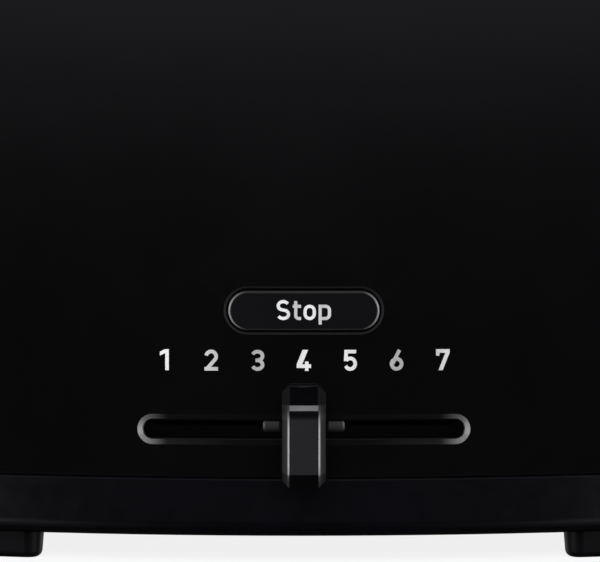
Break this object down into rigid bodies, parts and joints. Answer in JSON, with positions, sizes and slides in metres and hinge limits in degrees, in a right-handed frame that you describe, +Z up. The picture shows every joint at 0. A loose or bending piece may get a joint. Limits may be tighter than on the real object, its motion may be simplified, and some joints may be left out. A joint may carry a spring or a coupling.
{
  "type": "pop up toaster",
  "caption": "Pop up toaster with a gloss black bowed housing, lift lever, browning slider, stop button and slide-out crumb tray; free-standing on corner feet.",
  "frame": {"origin": "on the table under the middle of the whole toaster, at the height of the foot pads", "axes": "+Z up, Y along the toaster with the control end facing -Y, +X to the right of someone facing the controls"},
  "size_m": [0.17, 0.2916, 0.1928],
  "materials": {
    "gloss_black": "high gloss moulded plastic",
    "satin_black": "fine satin moulded plastic",
    "rubber_black": "matt moulded rubber",
    "black_enamel": "satin heat-proof enamel",
    "sheet_steel": "aluminised sheet",
    "bright_steel": "drawn bright steel",
    "mica": "flaky pale mica board",
    "heater_alloy": "oxidised resistance ribbon",
    "copper_winding": "enamelled copper winding",
    "board_green": "solder mask on laminate",
    "component_plastic": "moulded component plastic"
  },
  "bodies": {
    "toaster_body": {"body_shell": "gloss_black", "base_tray": "satin_black", "cord_gland": "satin_black", "foot_front_left": "rubber_black", "foot_front_right": "rubber_black", "foot_rear_left": "rubber_black", "foot_rear_right": "rubber_black", "top_panel": "black_enamel", "chassis_front_plate": "sheet_steel", "chassis_rear_plate": "sheet_steel", "reflector_left": "sheet_steel", "reflector_right": "sheet_steel", "bread_guard_left_outer": "sheet_steel", "bread_guard_left_inner": "sheet_steel", "bread_guard_right_outer": "sheet_steel", "bread_guard_right_inner": "sheet_steel", "guide_rod": "bright_steel", "carriage_spring": "bright_steel", "base_screws": "bright_steel", "latch_magnet_core": "bright_steel", "heater_card_left": "mica", "heater_card_centre": "mica", "heater_card_right": "mica", "heater_ribbon_left": "heater_alloy", "heater_ribbon_centre": "heater_alloy", "heater_ribbon_right": "heater_alloy", "latch_magnet_coil": "copper_winding", "control_board": "board_green", "slide_potentiometer": "component_plastic", "stop_switch": "component_plastic", "power_relay": "component_plastic", "terminal_block": "component_plastic"},
    "carriage": {"carriage_bracket": "sheet_steel", "carriage_bush": "component_plastic", "armature_plate": "bright_steel", "bread_rack_left": "sheet_steel", "bread_rack_right": "sheet_steel", "lever_knob": "satin_black"},
    "browning_slider": {"browning_knob": "satin_black", "slider_carrier": "satin_black", "potentiometer_lever": "component_plastic"},
    "stop_key": {"stop_button": "gloss_black", "stop_switch_plunger": "component_plastic"},
    "crumb_drawer": {"crumb_tray": "sheet_steel", "crumb_tray_handle": "satin_black"}
  },
  "joints": [
    {"name": "lever_slide", "type": "slide", "parent": "toaster_body", "child": "carriage", "axis": [0, 0, 1], "range_m": [-0.046, 0], "stiffness_N_per_m": 120, "springref_m": 0.06, "deforming": ["carriage_spring"]},
    {"name": "browning_slide", "type": "slide", "parent": "toaster_body", "child": "browning_slider", "axis": [1, 0, 0], "range_m": [-0.0254, 0.0254]},
    {"name": "stop_press", "type": "slide", "parent": "toaster_body", "child": "stop_key", "axis": [0, 1, 0], "range_m": [0, 0.0015], "stiffness_N_per_m": 1500, "springref_m": -0.0006},
    {"name": "crumb_tray_slide", "type": "slide", "parent": "toaster_body", "child": "crumb_drawer", "axis": [0, 1, 0], "range_m": [0, 0.15]}
  ]
}
